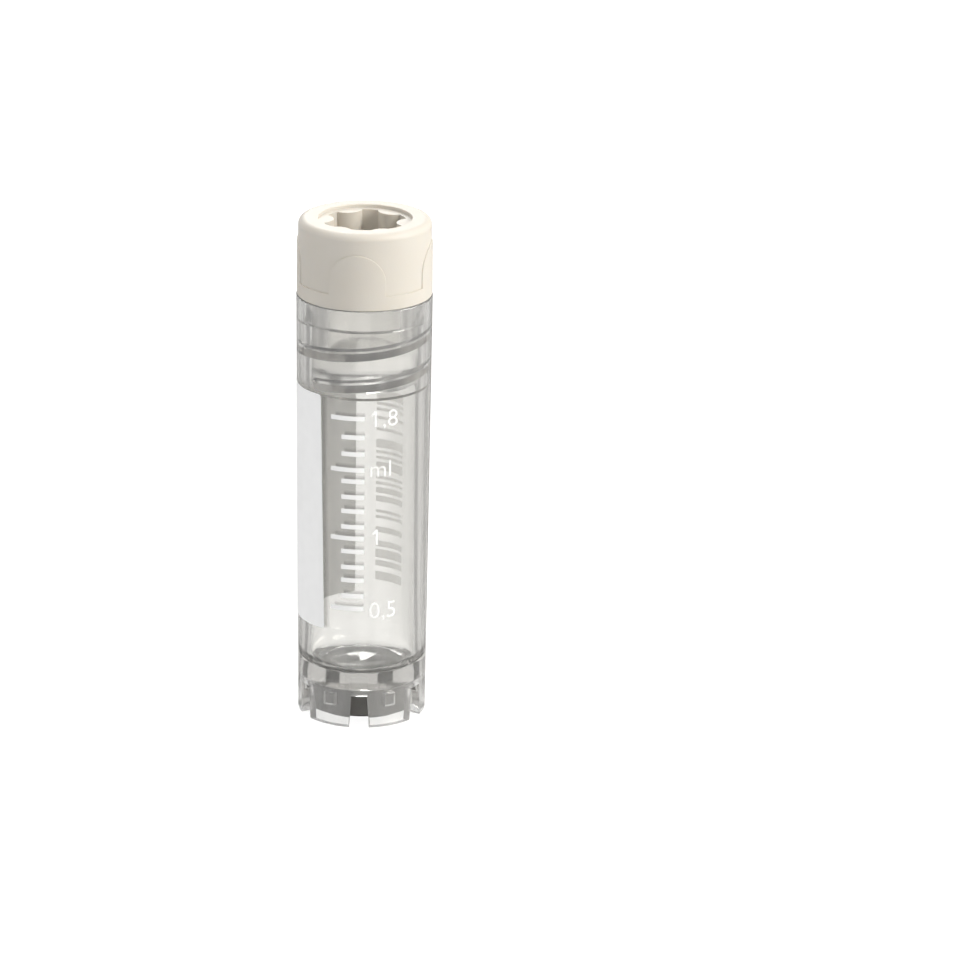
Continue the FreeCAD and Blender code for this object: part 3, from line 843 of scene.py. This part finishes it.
def straight_through(tree):
    """Two switches, for rays that came straight to this place and for bent or mirrored ones.

    The first is 1 for camera rays and for rays that passed clear plastic unmirrored.
    """
    rays = add_node(tree, "LightPath").outputs
    unmirrored = math_node(tree, "LESS_THAN", rays["Glossy Depth"], AT_LEAST_ONCE)
    scattered = math_node(tree, "GREATER_THAN", rays["Diffuse Depth"], AT_LEAST_ONCE)
    either = math_node(tree, "MAXIMUM", unmirrored, scattered)
    passed = math_node(tree, "MULTIPLY", rays["Is Transmission Ray"], either)
    seen = math_node(tree, "MAXIMUM", rays["Is Camera Ray"], passed)
    bent = math_node(tree, "MAXIMUM", rays["Is Transmission Ray"], rays["Is Glossy Ray"])
    return seen, bent


print("switch for rays is ready")

# %% A tool for the room that mirrored light sees
WINDOWS = 10.0         # how many windows stand round the vial
GAP_FROM = -0.6        # cosines between which a window ends and the dark gap beside it begins
WINDOW_FROM = -0.5


def windows(tree, across, away, dark, bright):
    """A strength that changes round the vial as windows and the gaps between them do."""
    turn = math_node(tree, "ARCTAN2", across, away)
    wave = math_node(tree, "COSINE", math_node(tree, "MULTIPLY", turn, WINDOWS))
    return ranged(tree, wave, dark, bright, GAP_FROM, WINDOW_FROM)


print("windows round the vial:", WINDOWS)

# %% [markdown]
# ## The floor
# The floor is one big plane that looks different to different rays: white to those that come
# straight, windows and gaps to mirrored ones, and matt to all others. Seen through the plastic it
# gets a little dimmer towards the right, which gives the clear tube a darker side and so makes it
# look round.

# %% Make the floor
FLOOR_SIZE = 1.2

start_fresh()
bpy.ops.mesh.primitive_plane_add(size=FLOOR_SIZE, location=(0, 0, 0))
floor = bpy.context.object
floor.name = "floor"
print("floor", FLOOR_SIZE, "m wide")

# %% Give the floor its finish
FLOOR_SEEN = 0.95
DIM = 0.7              # the share of that strength which is left on the right, through plastic
DIM_FROM = 3 * MM      # distances to the right of the axis between which it gets dimmer
DIM_TO = 12 * MM
FLOOR_IN_GLOSS = (0.3, 0.65)
MATT = (0.66, 0.665, 0.68, 1)
UNDER_WHITE = (0.15, 0.145, 0.135, 1)      # a little matt colour keeps the vial's shadow there
WHITE = (1, 1, 1, 1)

floor_finish = bpy.data.materials.new("pale_floor")
floor_finish.use_nodes = True
tree = floor_finish.node_tree
tree.nodes.clear()
seen, bent = straight_through(tree)
right, away, _ = add_node(tree, "SeparateXYZ", [(0, object_place(tree))]).outputs
dimmed = ranged(tree, right, FLOOR_SEEN, FLOOR_SEEN * DIM, DIM_FROM, DIM_TO)
camera_ray = add_node(tree, "LightPath").outputs["Is Camera Ray"]
undimmed = math_node(tree, "MULTIPLY", camera_ray, FLOOR_SEEN)
strength = math_node(tree, "MAXIMUM", dimmed, undimmed)
panes = windows(tree, right, away, *FLOOR_IN_GLOSS)

matt = add_node(tree, "BsdfDiffuse", Color=MATT)
shadow = add_node(tree, "BsdfDiffuse", Color=UNDER_WHITE)
glow = add_node(tree, "Emission", [("Strength", strength)], Color=WHITE)
white = add_node(tree, "AddShader", [(0, shadow.outputs[0]), (1, glow.outputs[0])])
grey = add_node(tree, "Emission", [("Strength", panes)], Color=WARM_LIGHT)
mirrored = add_node(tree, "MixShader", [(0, bent), (1, matt.outputs[0]), (2, grey.outputs[0])])
chosen = add_node(tree, "MixShader", [(0, seen), (1, mirrored.outputs[0]), (2, white.outputs[0])])
add_node(tree, "OutputMaterial", [("Surface", chosen.outputs[0])])
dress(floor, floor_finish)
print("finish of the floor:", len(tree.nodes), "nodes")

# %% [markdown]
# ## The world
# The world is the big pale room round the table. Behind the vial it is brighter than in front,
# because clear plastic is usually lit from behind. Mirrored light sees its windows and gaps.

# %% Make the world
BEHIND = 0.8
IN_FRONT = 0.5
FRONT_UP_TO = -0.6     # how far forward, from -1, the room has its strength in front,
BEHIND_FROM = 0.3      # and how far back, to 1, it starts to have the one behind
ROOM_IN_GLOSS = (0.15, 0.9)

world = bpy.data.worlds.new("white_room")
bpy.context.scene.world = world
world.use_nodes = True
tree = world.node_tree
tree.nodes.clear()
seen, bent = straight_through(tree)
direction = add_node(tree, "SeparateXYZ", [(0, add_node(tree, "TexCoord").outputs["Generated"])])
depth = ranged(tree, direction.outputs["Y"], IN_FRONT, BEHIND, FRONT_UP_TO, BEHIND_FROM,
               interpolation_type="SMOOTHSTEP")
panes = windows(tree, direction.outputs["X"], direction.outputs["Y"], *ROOM_IN_GLOSS)
level = add_node(tree, "Mix", [(0, bent), (2, depth), (3, panes)], data_type="FLOAT")
room = add_node(tree, "Background", [("Strength", level.outputs[0])], Color=WHITE)
white = add_node(tree, "Background", Color=WHITE, Strength=1.0)
shown = add_node(tree, "MixShader", [(0, seen), (1, room.outputs[0]), (2, white.outputs[0])])
add_node(tree, "OutputWorld", [("Surface", shown.outputs[0])])
print("world strength in front", IN_FRONT, "behind", BEHIND)

# %% [markdown]
# ## The lamps
# A large soft lamp stands high on the right and shapes the cap. A tall narrow one on the left
# draws the thin upright highlights that tell the eye the tube is round and glossy. A small one
# behind is seen through the bowl and puts a glint in it. The last one hangs above and whitens the
# top of the cap.

# %% Set the lamps
MIDDLE = Vector((0, 0, 0.024))


def add_lamp(name, place, width, height, power, colour=WHITE[:3]):
    """A rectangular area lamp that faces the vial."""
    lamp = bpy.data.lights.new(name, "AREA")
    lamp.shape = "RECTANGLE"
    lamp.size = width
    lamp.size_y = height
    lamp.energy = power
    lamp.color = colour
    holder = bpy.data.objects.new(name, lamp)
    bpy.context.scene.collection.objects.link(holder)
    holder.location = place
    holder.rotation_euler = (MIDDLE - Vector(place)).to_track_quat("-Z", "Y").to_euler()


add_lamp("key", place=(0.42, -0.16, 0.30), width=0.25, height=0.30, power=2.75,
         colour=(1.0, 0.975, 0.92))
add_lamp("edge", place=(-0.40, -0.20, 0.20), width=0.05, height=0.50, power=0.32)
add_lamp("window", place=(-0.06, 0.40, 0.28), width=0.10, height=0.12, power=0.5)
add_lamp("top", place=(-0.06, -0.05, 0.60), width=0.20, height=0.20, power=0.65)

# %% [markdown]
# ## The camera
# A long lens from a little above keeps the tube's sides nearly parallel. The camera aims beside
# the vial, which leaves it left of the middle, and is rolled by about a degree.

# %% Set the camera
CAMERA_AZIMUTH = 2.2
CAMERA_ELEVATION = 18.81
CAMERA_DISTANCE = 0.45
CAMERA_AIM = Vector((0.010834, -0.000056, 0.022614))
CAMERA_ROLL = 0.912
LENS = 182.13
SENSOR = 36
NEAREST = 0.01         # the camera sees nothing that is closer to it than this

azimuth, elevation = math.radians(CAMERA_AZIMUTH), math.radians(CAMERA_ELEVATION)
towards_camera = Vector((math.sin(azimuth) * math.cos(elevation),
                         -math.cos(azimuth) * math.cos(elevation), math.sin(elevation)))
lens = bpy.data.cameras.new("camera")
lens.lens = LENS
lens.sensor_width = SENSOR
lens.clip_start = NEAREST
camera = bpy.data.objects.new("camera", lens)
bpy.context.scene.collection.objects.link(camera)
camera.location = MIDDLE + CAMERA_DISTANCE * towards_camera
facing = (CAMERA_AIM - camera.location).to_track_quat("-Z", "Y").to_matrix()
camera.rotation_euler = (facing @ Matrix.Rotation(math.radians(CAMERA_ROLL), 3, "Z")).to_euler()
bpy.context.scene.camera = camera
bpy.context.scene.view_settings.view_transform = "Standard"
print("camera at", [round(value, 4) for value in camera.location])
